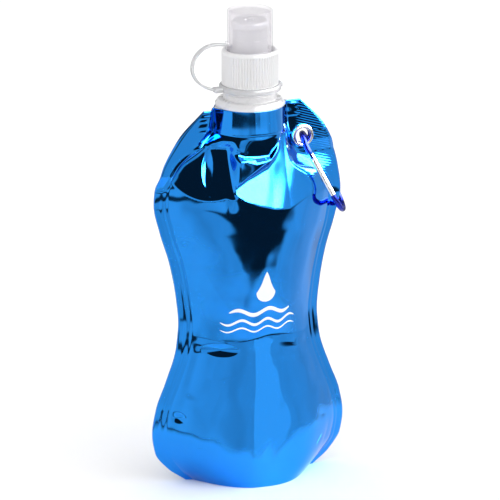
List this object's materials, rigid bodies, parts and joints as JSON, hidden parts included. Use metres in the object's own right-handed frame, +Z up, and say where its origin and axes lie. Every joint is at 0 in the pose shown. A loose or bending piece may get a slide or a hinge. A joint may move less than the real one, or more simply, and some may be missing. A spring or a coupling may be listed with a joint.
{
  "type": "folding water bottle",
  "caption": "Hourglass stand-up film pouch bottle that folds flat, with a screwed sport cap, push-pull nozzle, tethered clear cover and a snap clip in a shoulder eyelet.",
  "frame": {"origin": "centre of the base, on the floor that the bottle stands on", "axes": "+Z up along the spout, front of the pouch towards -Y, eyelet and clip on the +X side"},
  "size_m": [0.1102, 0.053, 0.2553],
  "materials": {
    "film": "mirror-bright metallised polyester film, tinted blue",
    "spout_plastic": "natural polyethylene, slightly translucent",
    "gasket_foam": "soft foamed sheet",
    "cap_plastic": "white moulded polypropylene, satin",
    "nozzle_plastic": "white moulded polyethylene, satin",
    "clear_plastic": "clear moulded plastic, polished",
    "tether_plastic": "translucent natural plastic",
    "eyelet_metal": "bright nickel plate",
    "blue_anodised": "dark blue anodised, glossy",
    "gate_metal": "bright drawn aluminium",
    "pin_steel": "plain steel"
  },
  "bodies": {
    "upper_pouch": {"front_panel_upper": "film", "back_panel_upper": "film", "spout_fitment": "spout_plastic", "eyelet_barrel": "eyelet_metal", "eyelet_washer": "eyelet_metal"},
    "lower_pouch": {"front_panel_lower": "film", "back_panel_lower": "film", "bottom_gusset": "film"},
    "cap_carrier": {"cap_gasket": "gasket_foam"},
    "cap": {"screw_cap": "cap_plastic"},
    "spout_nozzle": {"nozzle": "nozzle_plastic"},
    "tether": {"tether_ring": "tether_plastic", "tether_strap": "tether_plastic"},
    "cover": {"dust_cover": "clear_plastic"},
    "clip": {"carabiner_frame": "blue_anodised", "gate_pivot_pin": "pin_steel"},
    "gate": {"carabiner_gate": "gate_metal", "gate_latch_pin": "pin_steel", "gate_plunger": "pin_steel", "gate_spring": "pin_steel"}
  },
  "joints": [
    {"name": "waist_fold", "type": "hinge", "parent": "upper_pouch", "child": "lower_pouch", "pos_m": [0, 0.0161, 0.087], "axis": [1, 0, 0], "range_deg": [0, 150]},
    {"name": "cap_rise", "type": "slide", "parent": "upper_pouch", "child": "cap_carrier", "axis": [0, 0, 1], "range_m": [0, 0.007]},
    {"name": "cap_turn", "type": "hinge", "parent": "cap_carrier", "child": "cap", "pos_m": [0, 0, 0.22], "axis": [0, 0, 1], "range_deg": [0, 720]},
    {"name": "nozzle_pull", "type": "slide", "parent": "cap", "child": "spout_nozzle", "axis": [0, 0, 1], "range_m": [0, 0.0036]},
    {"name": "tether_turn", "type": "hinge", "parent": "cap", "child": "tether", "pos_m": [0, 0, 0.2137], "axis": [0, 0, 1], "continuous": true},
    {"name": "cover_pull", "type": "slide", "parent": "tether", "child": "cover", "axis": [0, 0, 1], "range_m": [0, 0.024]},
    {"name": "carabiner_swing", "type": "hinge", "parent": "upper_pouch", "child": "clip", "pos_m": [0.0296, 0, 0.184], "axis": [0, -1, 0], "range_deg": [0, 120]},
    {"name": "gate_open", "type": "hinge", "parent": "clip", "child": "gate", "pos_m": [0.03203, -0.00781, 0.1739], "axis": [0.8187, -0.342, 0.4613], "range_deg": [0, 16], "stiffness_Nm_per_rad": 0.02, "springref_deg": -11.46}
  ],
  "couplings": [
    {"joint": "cap_rise", "follows": "cap_turn", "m_per_rad": 0.00055704}
  ]
}
